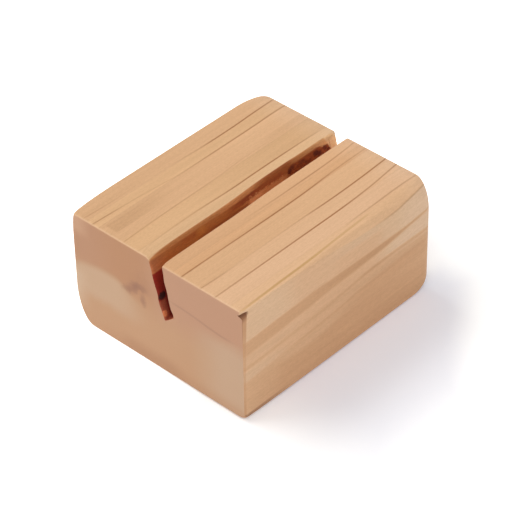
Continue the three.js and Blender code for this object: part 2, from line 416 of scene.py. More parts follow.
def strip_mesh(i, name):
    """One strip as a closed mesh with a seam attribute."""
    xs = stations()
    rings = [ring_at(i, x) for x in xs]
    count = len(rings[0])
    vertices = [(x * MM, y * MM, z * MM) for x, ring in zip(xs, rings) for y, z, _ in ring]
    faces = []
    for k in range(len(rings) - 1):
        for j in range(count):
            a, b = k * count + j, k * count + (j + 1) % count
            faces.append((a, b, b + count, a + count))
    last = (len(rings) - 1) * count
    caps = [tuple(range(count - 1, -1, -1)), tuple(range(last, last + count))]
    mesh = bpy.data.meshes.new(name)
    mesh.from_pydata(vertices, [], faces + caps)
    mesh.validate()
    seam = mesh.attributes.new("seam", "FLOAT", "POINT")
    seam.data.foreach_set("value", [s for ring in rings for _, _, s in ring])
    mesh.shade_smooth()
    mesh.set_sharp_from_angle(angle=SHARP_ANGLE)
    rims = {frozenset(pair) for cap in caps for pair in zip(cap, cap[1:] + cap[:1])}
    for edge in mesh.edges:
        if frozenset(edge.vertices) in rims:
            edge.use_edge_sharp = True
    mesh.update()
    return mesh


def linear(color, gain=1.0):
    """An sRGB colour of 0 to 255 as linear RGBA, brightened by a gain."""
    values = [c / 255 for c in color]
    lit = [v / 12.92 if v <= 0.04045 else ((v + 0.055) / 1.055) ** 2.4 for v in values]
    return tuple(v * gain for v in lit) + (1.0,)


# Wood gets browner as it gets darker: the powers of a shade for red, green and blue
BROWNING = (1.0, 1.2, 1.45)
# Room above and below a curve's points, for the overshoot between them
CURVE_MARGIN = 0.5


class Tree:
    """Short calls for building a node tree."""

    def __init__(self, tree):
        self.tree = tree
        tree.nodes.clear()

    def node(self, kind, **settings):
        made = self.tree.nodes.new(kind)
        for key, value in settings.items():
            setattr(made, key, value)
        return made

    def put(self, socket, value):
        if isinstance(value, bpy.types.NodeSocket):
            self.tree.links.new(value, socket)
        else:
            socket.default_value = value

    def show(self, kind, shader):
        """Ends the tree in an output node of a kind."""
        self.put(self.node(kind).inputs["Surface"], shader.outputs[0])

    def filled(self, kind, *values, **settings):
        """The outputs of a node whose first inputs are filled in order."""
        made = self.node(kind, **settings)
        for socket, value in zip(made.inputs, values):
            self.put(socket, value)
        return made.outputs

    def math(self, operation, *values):
        return self.filled("ShaderNodeMath", *values, operation=operation)[0]

    def chain(self, operation, values):
        result = values[0]
        for value in values[1:]:
            result = self.math(operation, result, value)
        return result

    def add(self, *values):
        return self.chain("ADD", values)

    def sub(self, a, b):
        return self.math("SUBTRACT", a, b)

    def mul(self, *values):
        return self.chain("MULTIPLY", values)

    def largest(self, *values):
        return self.chain("MAXIMUM", values)

    def off(self, value, middle):
        return self.math("ABSOLUTE", self.sub(value, middle))

    def swing(self, value, size):
        """A noise of 0 to 1 as a swing to both sides of 0."""
        return self.mul(self.sub(value, 0.5), size)

    def step(self, value, low, high, start=0.0, stop=1.0):
        """0 below low and 1 above high, smooth between."""
        settings = {"interpolation_type": "SMOOTHSTEP", "clamp": True}
        return self.filled("ShaderNodeMapRange", value, low, high, start, stop, **settings)[0]

    def fall(self, value, low, high):
        """1 below low and 0 above high, smooth between."""
        return self.step(value, low, high, 1.0, 0.0)

    def scaled(self, vector, factors, offset=(0, 0, 0)):
        return self.filled("ShaderNodeVectorMath", vector, factors, offset, operation="MULTIPLY_ADD")[0]

    def scaled_by(self, vector, factor):
        made = self.node("ShaderNodeVectorMath", operation="SCALE")
        self.put(made.inputs[0], vector)
        self.put(made.inputs[3], factor)
        return made.outputs[0]

    def split(self, vector):
        return self.filled("ShaderNodeSeparateXYZ", vector)

    def noise(self, vector, factors, offset=(0, 0, 0), detail=2.0, roughness=0.5, distortion=0.0):
        made = self.node("ShaderNodeTexNoise")
        self.put(made.inputs["Vector"], self.scaled(vector, factors, offset))
        settings = {"Scale": 1.0, "Detail": detail, "Roughness": roughness, "Distortion": distortion}
        for name, value in settings.items():
            self.put(made.inputs[name], value)
        return made.outputs[0]

    def mix(self, factor, a, b):
        made = self.node("ShaderNodeMix", data_type="RGBA")
        self.put(made.inputs[0], factor)
        self.put(made.inputs[6], a)
        self.put(made.inputs[7], b)
        return made.outputs[2]

    def shaded(self, color, shade):
        """A wood colour made darker or lighter."""
        gains = self.filled("ShaderNodeCombineXYZ", *(self.math("POWER", shade, power) for power in BROWNING))
        return self.filled("ShaderNodeVectorMath", color, gains[0], operation="MULTIPLY")[0]

    def ramp(self, value, stops, gain):
        """A colour by value, along sRGB stops."""
        start, stop = stops[0][0], stops[-1][0]
        made = self.node("ShaderNodeValToRGB")
        self.put(made.inputs[0], self.math("DIVIDE", self.sub(value, start), stop - start))
        elements = made.color_ramp.elements
        while len(elements) < len(stops):
            elements.new(1.0)
        for element, (at, color) in zip(elements, stops):
            element.position = (at - start) / (stop - start)
            element.color = linear(color, gain)
        return made.outputs[0]

    def curve(self, value, points, low=None, high=None):
        """A smooth curve through (value, height) points."""
        heights = [y for _, y in points]
        low = min(heights) - CURVE_MARGIN if low is None else low
        high = max(heights) + CURVE_MARGIN if high is None else high
        start, stop = points[0][0], points[-1][0]
        made = self.node("ShaderNodeFloatCurve")
        self.put(made.inputs[1], self.math("DIVIDE", self.sub(value, start), stop - start))
        line = made.mapping.curves[0]
        places = [((x - start) / (stop - start), (y - low) / (high - low)) for x, y in points]
        line.points[0].location = places[0]
        line.points[1].location = places[-1]
        for place in places[1:-1]:
            line.points.new(*place)
        made.mapping.update()
        return self.add(self.mul(made.outputs[0], high - low), low)

    def ellipse(self, a, b, centre, turn, halves):
        """Distance from an ellipse's centre in its own half sizes."""
        across, down = self.sub(a, centre[0]), self.sub(b, centre[1])
        cos, sin = math.cos(turn), math.sin(turn)
        long = self.add(self.mul(across, cos / halves[0]), self.mul(down, sin / halves[0]))
        wide = self.sub(self.mul(down, cos / halves[1]), self.mul(across, sin / halves[1]))
        return self.math("SQRT", self.add(self.mul(long, long), self.mul(wide, wide)))


class Spot:
    """Node values for where a point lies, in millimetres, and how much its surface faces each way."""

    def __init__(self, t):
        coordinates = t.node("ShaderNodeTexCoord")
        self.place = t.scaled(coordinates.outputs["Object"], TO_MM)
        self.x, self.y, z = t.split(self.place)
        facing = t.split(coordinates.outputs["Normal"])
        self.along, self.across, self.up = (t.math("ABSOLUTE", part) for part in facing)
        self.from_left = t.sub(self.x, LEFT_X)
        self.from_right = t.sub(RIGHT_X, self.x)
        self.from_back = t.sub(BACK_Y, self.y)
        self.depth = t.sub(HEIGHT, z)
        self.layer = t.add(self.from_back, t.mul(self.depth, LAYER_SLOPE))


# The front and the ends get less light than the top, so their wood is written brighter than it looks.
FRONT_GAIN = 1.122
END_GAIN = 1.05
BACK_GAIN = 1.05

# Wood tones of the front by lightness, from the dark growth lines to the palest wood
FRONT_RAMP = [
    (145, (182, 135, 93)),
    (158, (194, 149, 110)),
    (173, (206, 164, 126)),
    (181, (208, 173, 138)),
    (188, (213, 180, 150)),
]

# Lightness of the front above its growth layers, and how much greyer it is from some depth on,
# as points of distance from the left end and lightness. Lower down it gets a little lighter.
FRONT_LIGHT = ((0, 178), (10, 179), (20, 174), (37, 178), (46, 179), (52, 183), (60, 186))
FRONT_GREYER = ((0, 0), (24, 0), (32, 4), (40, 5), (46, 0), (60, 0))
GREYER_FROM, LIGHTER_FROM, LIGHTER = (3.0, 4.3), (14, 20), 4.0

# Growth layers of the front, from the top down. Each has its path as points of distance from the left end
# and depth, the band across the path in which the wood changes, and the lightness below the path.
# Where a dark line runs along the path, its reach above and below the path and its strength come last.
FRONT_LAYERS = [
    (
        ((0, 8.4), (8, 8.0), (20, 7.6), (32, 7.7), (44, 7.8), (50, 7.8), (55, 7.4), (60, 6.9)),
        (-0.3, 0.35), ((0, 161), (20, 157), (44, 152), (50, 154), (60, 164)), None,
    ),
    (
        ((0, 12.1), (8, 11.7), (20, 11.1), (26, 10.5), (32, 10.2), (40, 9.8), (44, 9.5), (50, 8.8),
         (60, 7.4)),
        (-0.5, 0.4), ((0, 174), (14, 174), (28, 170), (36, 171), (44, 177), (50, 184), (60, 185)), None,
    ),
    (
        ((0, 15.5), (8, 15.3), (14, 15.0), (26, 14.4), (32, 13.8), (38, 13.1), (44, 12.8), (52, 12.75),
         (60, 12.7)),
        (0.1, 1.3), ((0, 176), (8, 174), (14, 171), (24, 169), (60, 168)),
        (0.9, 0.8, ((0, 10), (8, 10), (28, 8), (36, 12), (44, 22), (60, 18))),
    ),
    (
        ((0, 19.3), (8, 18.7), (20, 18.0), (26, 17.6), (32, 17.1), (38, 16.2), (46, 15.6), (60, 15.0)),
        (-0.6, 0.6), ((0, 166), (26, 165), (34, 159), (42, 156), (60, 162)),
        (0.7, 0.7, ((0, 0), (12, 0), (18, 8), (28, 9), (38, 3), (60, 0))),
    ),
    (
        ((0, 20.2), (8, 20.0), (14, 20.8), (22, 21.0), (32, 19.8), (60, 22.0)),
        (-1.0, 1.0), ((0, 164), (8, 161), (16, 155), (48, 155), (60, 161)), None,
    ),
]


def front_tone(t, place, along, depth, gain=FRONT_GAIN):
    """The front face: pale above, with darker growth layers below that rise towards the right."""
    wave = t.noise(place, (0.09, 0.4, 0.22), (7, 0, 2), detail=2.0)
    depth = t.add(depth, t.swing(wave, 0.5))
    greyer = t.mul(t.step(depth, *GREYER_FROM), t.curve(along, FRONT_GREYER))
    light = t.sub(t.curve(along, FRONT_LIGHT), greyer)
    for path, band, lightness, dark_line in FRONT_LAYERS:
        past = t.sub(depth, t.curve(along, path))
        change = t.sub(t.curve(along, lightness), light)
        light = t.add(light, t.mul(t.step(past, *band), change))
        if dark_line:
            above, below, strength = dark_line
            line = t.mul(t.step(past, -above, 0.0), t.fall(past, 0.0, below))
            light = t.sub(light, t.mul(line, t.curve(along, strength)))
    light = t.add(light, t.mul(t.step(depth, *LIGHTER_FROM), LIGHTER))
    return t.ramp(light, FRONT_RAMP, gain)


# Tones of the end faces in sRGB
END_TONES = {
    "back": (193, 145, 113), "middle": (192, 142, 106), "front": (198, 151, 121),
    "back corner": (210, 165, 132), "lower": (202, 158, 122), "patch": (207, 172, 140),
    "patch edge": (217, 185, 155), "front patch": (205, 171, 141), "foot": (193, 147, 112),
    "foot middle": (188, 142, 108), "ring": (168, 125, 102), "smudge": (160, 115, 92),
}

# The upper edge of the pale patch and a dark growth ring: distance from the back, and depth
PATCH_ROOF = ((0, 13.6), (5, 11.4), (12, 10.6), (16, 11.6), (22, 14.0), (51, 15.0))
END_RING = ((28, 8.6), (33, 8.6), (37, 8.9), (42, 9.5), (46, 9.7), (51, 8.8))

# The smudge of a knot, made of ellipses: centre from the back and down, turn, half sizes, strength
KNOT_SMUDGES = [
    ((22.0, 8.5), 0.0, (5.0, 4.0), 0.16),
    ((18.9, 10.9), -0.6, (4.0, 1.9), 0.66),
    ((19.7, 10.3), -0.6, (2.0, 1.2), 0.75),
    ((16.8, 12.2), -0.3, (2.0, 1.2), 0.35),
    ((21.8, 9.8), -0.3, (2.0, 1.4), 0.42),
    ((21.7, 13.0), 1.4, (2.1, 1.2), 0.62),
]


def end_tone(t, spot):
    """An end face: mottled end grain, with a pale patch and a small smudge of a knot on the left end."""
    def tone(name):
        return linear(END_TONES[name], END_GAIN)

    d, depth = spot.from_back, spot.depth
    wave = t.noise(spot.place, (0.02, 0.16, 0.16), (1, 5, 3), detail=3.0)
    shift = t.swing(wave, 3.0)
    d_wavy = t.add(d, shift)
    depth_wavy = t.sub(depth, shift)
    color = t.mix(t.step(d_wavy, 3, 16), tone("back"), tone("middle"))
    color = t.mix(t.step(d_wavy, 20, 30), color, tone("front"))
    back_corner = t.mul(t.fall(d, 2, 7), t.fall(depth, 3, 6))
    color = t.mix(t.mul(back_corner, 0.8), color, tone("back corner"))
    color = t.mix(t.step(depth_wavy, 9, 19), color, tone("lower"))

    under_roof = t.step(t.sub(depth, t.curve(d, PATCH_ROOF)), -0.5, 2.0)
    patch = t.mul(under_roof, t.fall(depth_wavy, 18.5, 22.5), t.fall(d_wavy, 13, 24))
    color = t.mix(t.mul(patch, 0.9), color, tone("patch"))
    patch_edge = t.mul(t.step(depth, 13, 17), t.fall(depth, 22, 27), t.fall(d, 0, 6))
    color = t.mix(t.mul(patch_edge, 0.8), color, tone("patch edge"))
    front_patch = t.mul(t.step(d_wavy, 34, 46), t.step(depth_wavy, 9, 14))
    color = t.mix(t.mul(front_patch, 0.85), color, tone("front patch"))
    foot = t.mul(t.step(depth, 25, 29.5), t.step(d, 6, 12))
    color = t.mix(t.mul(foot, 0.6), color, tone("foot"))
    foot_middle = t.mul(t.step(depth, 24, 28), t.step(d, 13, 18), t.fall(d, 28, 36))
    color = t.mix(t.mul(foot_middle, 0.7), color, tone("foot middle"))

    ring = t.fall(t.off(depth, t.curve(d, END_RING)), 0.08, 0.5)
    strength = t.mul(t.step(d, 28, 33), t.fall(d, 44, 50), 0.4)
    color = t.mix(t.mul(ring, strength), color, tone("ring"))
    left = t.fall(spot.x, -20, -10)
    ragged = t.swing(t.noise(spot.place, (0.1, 0.7, 0.7), (6, 6, 1), detail=3.0), 0.9)
    for centre, turn, halves, share in KNOT_SMUDGES:
        radius = t.add(t.ellipse(d, depth, centre, turn, halves), ragged)
        color = t.mix(t.mul(t.fall(radius, 0.15, 1.1), left, share), color, tone("smudge"))
    return color


# Tones of the sawn slot in sRGB. The lip shadow and the deep tones are painted shade over the scorched wood.
SLOT_TONES = {
    "lip": (161, 101, 56), "middle lip": (170, 107, 62), "dark lip": (134, 70, 31),
    "right lip": (188, 136, 90), "wall": (138, 78, 36), "right wall": (122, 55, 20),
    "golden wall": (150, 89, 37), "brown wall": (131, 66, 27), "dark wall": (121, 57, 24),
    "darkest wall": (113, 50, 22), "left wall": (132, 76, 45), "stripe": (168, 106, 64),
    "splinter": (196, 136, 92), "lip shadow": (114, 54, 25), "char": (84, 28, 9),
    "burnt": (68, 20, 6), "left band": (170, 104, 68), "deep": (100, 46, 24),
    "left deep": (106, 25, 13), "left floor": (126, 60, 40), "pale knot": (168, 97, 60),
    "black knot": (30, 9, 7), "clean": (211, 167, 122), "crack": (150, 100, 62),
}

# Burnt spots on the slot's back wall: x, depth, half length, half height and strength
BURNT_SPOTS = [
    (13.7, 2.2, 0.85, 0.75, 0.95), (14.5, 1.5, 1.1, 0.6, 0.7), (17.7, 1.9, 1.7, 0.8, 0.45),
    (19.6, 2.6, 1.3, 0.4, 0.4), (22.3, 1.9, 1.0, 0.75, 0.9), (23.3, 2.45, 1.0, 0.65, 0.9),
    (25.3, 2.05, 0.7, 0.7, 0.8), (26.3, 2.7, 0.7, 0.35, 0.8),
]

# Two small knots at the slot's left end: tone, x and depth, half sizes, full part of the radius, strength
KNOTS = [
    ("pale knot", (-29.5, 13.4), (0.7, 0.9), 0.5, 1.0),
    ("black knot", (-28.9, 9.5), (1.2, 1.1), 0.6, 0.9),
]

# Little light gets into the slot, so its wood is written brighter further down: depth and gain
SLOT_GAIN = ((0, 1.2), (0.5, 1.5), (1.5, 2.0), (2.4, 2.25), (3.2, 2.3), (4.2, 2.0), (16, 2.0))
CLEAN_GAIN = ((0, 1.2), (0.8, 1.34), (1.4, 1.55), (3, 1.7), (16, 1.7))


def scorch_tone(t, spot):
    """The sawn slot: brown under the back lip, darker further down, burnt in spots, with a painted shadow
    line under the front lip and painted shade deep down, dark red over the scorched wood.
    """
    def tone(name):
        return linear(SLOT_TONES[name])

    place, x, depth = spot.place, spot.x, spot.depth
    patchy = t.noise(place, (0.12, 0.8, 0.8), (4, 4, 4), detail=4.0, roughness=0.65)
    speckle = t.noise(place, (0.8, 3.2, 3.2), (2, 7, 1), detail=4.0, roughness=0.75)
    splinters = t.noise(place, (1.6, 2.6, 2.6), (11, 2, 6), detail=5.0, roughness=0.75)
    ragged = t.swing(splinters, 2.6)
    wavy = t.add(depth, t.swing(patchy, 0.9))
    x_ragged, wavy_ragged = t.add(x, ragged), t.add(wavy, ragged)

    lip = t.mix(t.fall(t.off(x, -3), 3, 8), tone("lip"), tone("middle lip"))
    lip = t.mix(t.mul(t.step(x, 1, 7), t.fall(x, 13.5, 16.5)), lip, tone("dark lip"))
    lip = t.mix(t.step(x, 17, 26), lip, tone("right lip"))
    wall = t.mix(t.step(x, 11, 15), tone("wall"), tone("right wall"))
    wall = t.mix(t.mul(t.fall(t.off(x, -14.6), 0.5, 2.5), 0.6), wall, tone("golden wall"))
    brown = t.mul(t.fall(t.off(x, -18), 1, 3.5), t.fall(depth, 1.7, 2.3))
    wall = t.mix(t.mul(brown, 0.7), wall, tone("brown wall"))
    upper = t.fall(depth, 1.9, 2.5)
    dark = t.mul(t.step(x, -8, -3), t.fall(x, 11, 14), upper)
    wall = t.mix(t.mul(dark, 0.9), wall, tone("dark wall"))
    wall = t.mix(t.mul(t.fall(t.off(x, 0.5), 1, 4), upper), wall, tone("darkest wall"))
    wall = t.mix(t.fall(x, -30, -24), wall, tone("left wall"))
    lip_depth = t.sub(wavy, t.mul(t.step(x, 22.8, 25.4), 0.7))
    color = t.mix(t.step(lip_depth, 0.55, 1.15), lip, wall)

    stripe = t.mul(t.step(wavy_ragged, 1.8, 2.5), t.step(x_ragged, -3.0, 1.4), t.fall(x, 11, 14))
    color = t.mix(t.mul(stripe, 0.7), color, tone("stripe"))
    splinter = t.mul(t.step(wavy_ragged, 1.9, 2.5), t.step(x_ragged, 0.2, 1.0), t.fall(x, 3, 6))
    color = t.mix(t.mul(splinter, 0.4), color, tone("splinter"))
    # A painted shadow line along the front lip's edge, low on the visible back wall.
    lower = t.mul(t.step(depth, 2.5, 2.85), t.step(x, -17, -14), t.fall(x, -0.5, 0.5))
    color = t.mix(t.mul(lower, 0.6), color, tone("lip shadow"))
    char = t.step(t.noise(place, (1.2, 2.4, 2.4), (5, 9, 2), detail=4.0, roughness=0.7), 0.46, 0.62)
    charred = t.mul(char, t.step(x, 12, 14.5), t.fall(x, 26, 27), t.step(depth, 1.0, 1.6))
    color = t.mix(t.mul(charred, 0.6), color, tone("char"))
    for at, down, half_length, half_height, strength in BURNT_SPOTS:
        radius = t.add(t.ellipse(x, depth, (at, down), 0.0, (half_length, half_height)), ragged)
        color = t.mix(t.mul(t.fall(radius, 0.4, 1.2), strength), color, tone("burnt"))

    left = t.fall(x, -27, -22)
    color = t.mix(t.mul(t.step(wavy, 3.2, 3.5), left, 0.2), color, tone("left band"))
    # Painted shade deep in the slot, where the front lip shadows the back wall: dark red over the scorched
    # wood, with a sharp edge near the left end.
    deep = t.add(t.mul(t.step(wavy, 3.7, 4.1), left), t.mul(t.step(wavy, 3.2, 6.5), t.sub(1.0, left)))
    color = t.mix(deep, color, t.mix(left, tone("deep"), tone("left deep")))
    left_floor = t.mul(t.step(wavy, 10.2, 11.0), t.fall(x, -28.6, -27.8))
    color = t.mix(left_floor, color, tone("left floor"))
    little_ragged = t.mul(ragged, 0.5)
    for name, centre, halves, core, share in KNOTS:
        radius = t.add(t.ellipse(x, depth, centre, 0.0, halves), little_ragged)
        color = t.mix(t.mul(t.fall(radius, core, 1.1), share), color, tone(name))
    color = t.scaled_by(color, t.curve(depth, SLOT_GAIN))

    clean = t.mul(t.step(t.sub(x, t.mul(depth, 0.45)), 25.4, 25.9), t.fall(depth, 3.0, 5.5))
    color = t.mix(clean, color, t.scaled_by(tone("clean")[:3], t.curve(depth, CLEAN_GAIN)))
    crack = t.mul(t.fall(t.off(x, 27.0), 0.05, 0.22), t.step(depth, 0.4, 1.0), t.fall(depth, 3.0, 4.0))
    color = t.mix(t.mul(crack, 0.4), color, tone("crack"))
    return t.shaded(color, t.add(0.58, t.mul(speckle, 0.84)))


# How far the scorched wood reaches past the slot's back wall, by distance from the right end, and past its
# front wall, by x. Below the lip it reaches further past the back wall.
SCORCH_BACK = (
    (0, 0.3), (7, 0.42), (10, 0.4), (13, 0.42), (16, 0.52), (22, 0.53), (28, 0.48), (34, 0.4), (52, 0.4),
    (56, 0.28), (60, 0.16),
)
SCORCH_FRONT = ((-30, 0.2), (-24, 0.18), (-21, 0.08), (4, 0.08), (9, 0.16), (14, 0.26), (30, 0.22))
SCORCH_BELOW_LIP = 0.6


def slot_inside(t, spot):
    """1 on the sawn walls and the floor of the slot, 0 on the sanded wood and the end faces."""
    half = SLOT_WIDTH / 2
    wandered = t.step(t.sub(WANDER_START_X, spot.x), 0, WANDER_START_X - WANDER_END_X)
    middle = t.sub(MOUTH_BACK_Y - MOUTH / 2, t.mul(wandered, SLOT_WANDER))
    across = t.mul(t.add(t.sub(spot.y, middle), t.mul(spot.depth, TAN)), COS)
    below_lip = t.mul(t.step(spot.depth, 0.8, 2.5), SCORCH_BELOW_LIP)
    past_back = t.sub(across, t.add(t.curve(spot.from_right, SCORCH_BACK), half, below_lip))
    past_front = t.add(across, half, t.curve(spot.x, SCORCH_FRONT))
    inside = t.mul(t.fall(past_back, -0.2, 0.05), t.step(past_front, 0.0, 0.22))
    above_floor = t.fall(spot.depth, SLOT_DEPTH + 0.5, SLOT_DEPTH + 1)
    return t.mul(inside, t.fall(spot.along, 0.8, 0.97), above_floor)


# Marks on the front face strip: distance from the right end, and the layer or the strength
FRONT_BORDER = (
    (0, 50.6), (2.4, 51.0), (7.4, 51.8), (13.6, 52.4), (23, 52.2), (32, 51.4), (42, 50.8), (60, 50.4),
)
GOLDEN_LINE = ((16, 48.4), (29, 49.0), (38.6, 49.5), (48, 49.7), (60, 50.15))
GOLDEN_STRENGTH = ((16, 0.0), (22, 0.5), (30, 0.6), (40, 0.9), (54, 0.75), (60, 0.0))
BORDER_TONE, GOLDEN_TONE = (176, 126, 84), (190, 146, 84)


def front_strip_tone(t, spot, color):
    """The front face strip: the front's layers from a border on, and a golden line behind the border."""
    far, layer = spot.from_right, spot.layer
    edge = t.curve(far, FRONT_BORDER)
    front = front_tone(t, spot.place, spot.from_left, spot.depth)
    color = t.mix(t.step(t.sub(layer, edge), -0.15, 0.2), color, front)
    border = t.mul(t.fall(t.off(layer, edge), 0.08, 0.4), t.fall(far, 12, 20), 0.45)
    color = t.mix(border, color, linear(BORDER_TONE))
    golden = t.fall(t.off(layer, t.curve(far, GOLDEN_LINE)), 0.1, 0.46)
    line = t.mul(golden, t.curve(far, GOLDEN_STRENGTH, 0.0, 1.0), t.step(far, 16, 20), 0.8)
    return t.mix(line, color, linear(GOLDEN_TONE))


# Tones at the left front corner: the facet, painted shade below the chip, the facet's edge line, painted
# shade in the hollow, and a painted contact shadow along the foot.
FACET_TONE, FACET_SHADE_TONE, FACET_LINE_TONE = (184, 136, 98), (150, 102, 68), (150, 100, 70)
HOLLOW_SHADE_TONE, FOOT_SHADE_TONE = (104, 60, 34), (132, 84, 54)


def near_corner_marks(t, spot, color):
    """The facet and the hollow at the left front corner with painted shade below the chip, and a painted
    shadow along the foot of the front.
    """
    s, depth = spot.from_left, spot.depth
    taper = t.math("POWER", math.exp(-1 / FACET_TAPER), depth)
    facet_width = t.add(t.mul(taper, FACET_TOP - FACET_BOTTOM), FACET_BOTTOM)
    left_of = t.sub(1.0, t.math("DIVIDE", s, facet_width))
    below = t.add(depth, t.mul(s, HOLLOW_RISE), -HOLLOW_DOWN)
    facet = t.mul(t.step(left_of, -0.05, 0.1), t.fall(spot.along, 0.85, 0.97), t.step(below, 0.0, 0.1))
    strength = t.add(t.mul(t.fall(depth, 4, 12), 0.45), t.mul(t.step(depth, 22, 28), 0.3), 0.4)
    color = t.mix(t.mul(facet, strength), color, linear(FACET_TONE, FRONT_GAIN))
    # Painted shade on the facet, darkest just below the overhanging chip.
    color = t.mix(t.mul(facet, t.fall(below, 0.8, 2.2), 0.8), color, linear(FACET_SHADE_TONE))
    edge = t.fall(t.off(t.sub(spot.y, FRONT_Y), FACET_IN), 0.03, 0.15)
    line = t.mul(edge, t.fall(s, 0.04, 0.2), t.fall(depth, 4, 10))
    color = t.mix(t.mul(line, 0.4), color, linear(FACET_LINE_TONE))
    # Painted shade in the hollow under the chipped top corner.
    hollow_shade = t.mul(t.step(below, -0.02, 0.08), t.fall(below, 0.35, 1.0), t.fall(s, 1.3, 1.8))
    hollow_shade = t.mul(hollow_shade, t.fall(spot.along, 0.9, 0.98))
    color = t.mix(t.mul(hollow_shade, 0.85), color, linear(HOLLOW_SHADE_TONE))
    # A painted contact shadow along the foot of the front, near the left end.
    foot = t.mul(t.step(depth, 27.9, 28.5), t.fall(depth, 29.4, 29.8), t.fall(s, 4, 16))
    foot = t.mul(foot, t.fall(spot.along, 0.3, 0.7))
    return t.mix(t.mul(foot, 0.6), color, linear(FOOT_SHADE_TONE))


# A dark fibre line's full and fading half width, the length in which it ends, its tone and share
LINE_CORE, LINE_FADE, LINE_END = 0.05, 0.3, 0.1
LINE_TONE, LINE_SHARE = (145, 80, 14), 0.8


def with_fibre_lines(t, spot, i, color):
    """A strip's colour with the dark fibre lines that run over its top."""
    far = spot.from_right
    top = t.step(spot.up, 0.45, 0.75)
    back, front = (BACK_Y - side for side in SPANS[i])
    for path, strengths in FIBRE_LINES:
        places = [from_back for _, from_back in path]
        if min(places) > front + LINE_FADE or max(places) < back - LINE_FADE:
            continue
        start, stop = strengths[0][0], strengths[-1][0]
        within = t.mul(t.step(far, start - LINE_END, start), t.fall(far, stop, stop + LINE_END))
        beside = t.off(spot.layer, t.curve(far, path))
        strength = t.curve(far, strengths, 0.0, 1.1)
        line = t.mul(t.fall(beside, LINE_CORE, LINE_FADE), strength, within, top)
        color = t.mix(t.mul(line, LINE_SHARE), color, linear(LINE_TONE))
    return color


# The strip with a dark stretch near the left end and a darker front side near the right end
STAINED_STRIP = 2
SEED_STEP = 17.0
# Tones of the pale far end, of a painted highlight along the end faces' top rim, and of the seams.
FAR_END_TONE, RIM_HIGHLIGHT_TONE, SEAM_TONE = (231, 198, 168), (232, 194, 156), (138, 92, 58)
BUMP_STRENGTH, BUMP_HEIGHT = 0.35, 0.06 * MM
SPECULAR = 0.3


def strip_material(i):
    """Bamboo for one strip: long fibres, its own tone, dark fibre lines, end grain, the scorched slot."""
    node, _, tone, left_shade, right_shade = STRIPS[i]
    material = bpy.data.materials.new("bamboo_" + node)
    material.use_nodes = True
    t = Tree(material.node_tree)
    spot = Spot(t)
    d, far, depth = spot.from_back, spot.from_right, spot.depth
    seed = SEED_STEP * i
    broad = t.noise(spot.place, (0.022, 0.5, 0.5), (seed, 0, 0), detail=3.0, roughness=0.55, distortion=0.4)
    fibre = t.noise(spot.place, (0.06, 3.4, 3.4), (seed, 2, 5), detail=4.0, roughness=0.65)
    fleck = t.noise(spot.place, (1.2, 3.6, 3.6), (seed, 8, 1), detail=3.0, roughness=0.7)
    pores = t.noise(spot.place, (0.3, 4.5, 4.5), (3, 1, 7), detail=3.0, roughness=0.6)

    ends_shade = t.add(1 + left_shade, t.mul(t.step(spot.from_left, 8, 52), right_shade - left_shade))
    grain = t.add(t.swing(broad, 0.2), t.swing(fibre, 0.16), t.swing(fleck, 0.32))
    shade = t.add(ends_shade, grain)
    if i == STAINED_STRIP:
        stretch = t.mul(t.step(d, 9.5, 10.1), t.fall(d, 12.7, 13.4), t.step(far, 38, 54))
        stretch = t.mul(stretch, t.fall(far, 58, 58.6))
        side = t.mul(t.step(d, 13.1, 13.5), t.fall(far, 8, 18))
        shade = t.sub(shade, t.add(t.mul(stretch, 0.11), t.mul(side, 0.065)))

    color = linear(tone)
    if i == LAST:
        color = front_strip_tone(t, spot, color)
    color = t.mix(t.mul(t.fall(far, 1, 9), t.fall(depth, 0.5, 2), 0.22), color, linear(FAR_END_TONE))
    if i == 0:
        layers = front_tone(t, spot.place, far, t.mul(depth, 0.8), BACK_GAIN)
        color = t.mix(t.mul(t.step(depth, 0.8, 2.5), t.step(spot.across, 0.3, 0.6), 0.8), color, layers)
    color = with_fibre_lines(t, spot, i, color)
    color = t.shaded(color, shade)

    end = t.step(spot.along, 0.55, 0.85)
    end_grain = t.add(1.0, t.swing(pores, 0.12), t.swing(fleck, 0.08))
    color = t.mix(end, color, t.shaded(end_tone(t, spot), end_grain))
    # A painted highlight along the top rim of the end faces.
    rim_highlight = t.mul(t.step(spot.along, 0.2, 0.5), t.fall(spot.along, 0.8, 0.95), t.fall(depth, 0.4, 0.9))
    color = t.mix(t.mul(rim_highlight, 0.42), color, linear(RIM_HIGHLIGHT_TONE))
    seam = t.node("ShaderNodeAttribute", attribute_name="seam").outputs["Fac"]
    color = t.mix(t.mul(seam, t.fall(spot.along, 0.3, 0.6), 0.85), color, linear(SEAM_TONE))

    roughness = t.add(0.5, t.mul(fibre, 0.14), t.mul(end, 0.1))
    if i in (SLOT_BACK, SLOT_FRONT):
        inside = slot_inside(t, spot)
        color = t.mix(inside, color, scorch_tone(t, spot))
        roughness = t.add(roughness, t.mul(inside, 0.2))
    if i == LAST:
        color = near_corner_marks(t, spot, color)

    bump = t.node("ShaderNodeBump")
    t.put(bump.inputs["Strength"], BUMP_STRENGTH)
    t.put(bump.inputs["Distance"], BUMP_HEIGHT)
    t.put(bump.inputs["Height"], t.add(fibre, t.mul(fleck, 0.6), t.mul(pores, end)))
    shader = t.node("ShaderNodeBsdfPrincipled")
    t.put(shader.inputs["Base Color"], color)
    t.put(shader.inputs["Roughness"], roughness)
    t.put(shader.inputs["Normal"], bump.outputs[0])
    t.put(shader.inputs["Specular IOR Level"], SPECULAR)
    t.show("ShaderNodeOutputMaterial", shader)
    return material


def add_object(name, data):
    made = bpy.data.objects.new(name, data)
    bpy.context.scene.collection.objects.link(made)
    return made


